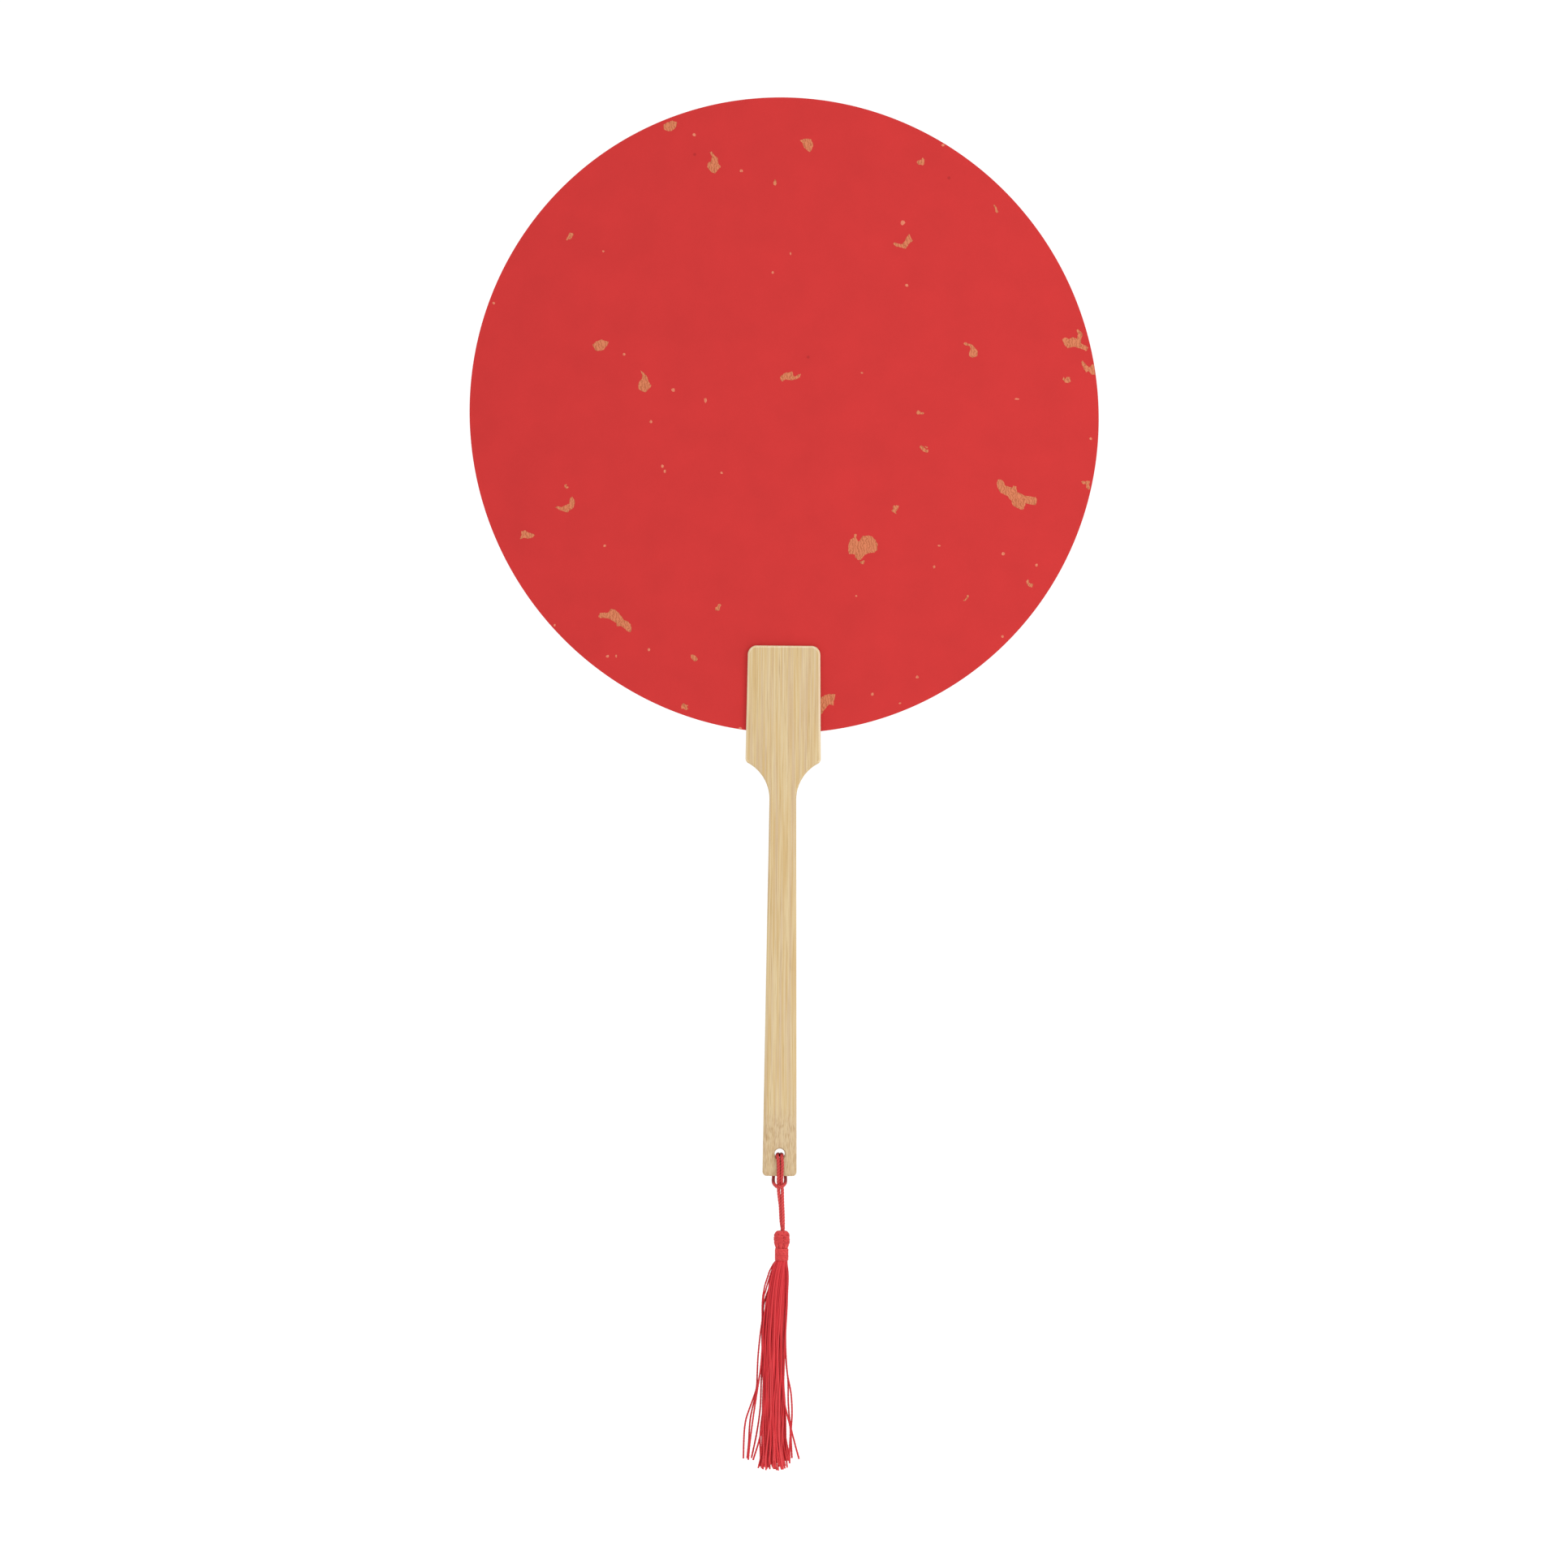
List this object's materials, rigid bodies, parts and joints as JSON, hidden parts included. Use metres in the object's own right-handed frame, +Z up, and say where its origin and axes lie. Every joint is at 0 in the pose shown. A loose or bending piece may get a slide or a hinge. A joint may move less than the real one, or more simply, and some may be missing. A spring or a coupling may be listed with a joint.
{
  "type": "round paddle fan",
  "caption": "Rigid round hand fan: red gold-flecked paper leaf glued into a slotted flat bamboo handle, with a red cord hitched through its tail and a thread tassel.",
  "frame": {"origin": "middle of the grip, on the handle's centre line, inside the handle", "axes": "+Z up the handle towards the leaf, +Y towards the back of the leaf, +X to the right as seen from the front"},
  "size_m": [0.2194, 0.0127, 0.4782],
  "materials": {
    "red_paper": "matte dyed paper with gold flecks",
    "card": "raw grey-cream card edge",
    "bamboo": "sanded bare bamboo with fine straight fibres",
    "red_cord": "twisted silky cord",
    "red_thread": "twisted silky thread"
  },
  "bodies": {
    "fan": {"leaf_core": "card", "front_paper": "red_paper", "back_paper": "red_paper", "bamboo_handle": "bamboo", "cord_hitch": "red_cord"},
    "pendant": {"pendant_strand_left": "red_cord", "pendant_strand_right": "red_cord"},
    "tassel": {"tassel_head": "red_thread", "cord_end_knot": "red_cord", "neck_binding": "red_thread"},
    "skirt": {"skirt_strands_back_right": "red_thread", "skirt_strands_back_left": "red_thread", "skirt_strands_front_left": "red_thread", "skirt_strands_front_right": "red_thread"}
  },
  "joints": [
    {"name": "pendant_swing", "type": "hinge", "parent": "fan", "child": "pendant", "pos_m": [0, -0.00305, -0.0693], "axis": [0, 1, 0], "range_deg": [-65, 65]},
    {"name": "tassel_tilt", "type": "hinge", "parent": "pendant", "child": "tassel", "pos_m": [0.001, -0.00305, -0.0835], "axis": [1, 0, 0], "range_deg": [-40, 40]},
    {"name": "skirt_sway", "type": "hinge", "parent": "tassel", "child": "skirt", "pos_m": [0.001, -0.00305, -0.09372], "axis": [0, 1, 0], "range_deg": [-20, 20]}
  ]
}
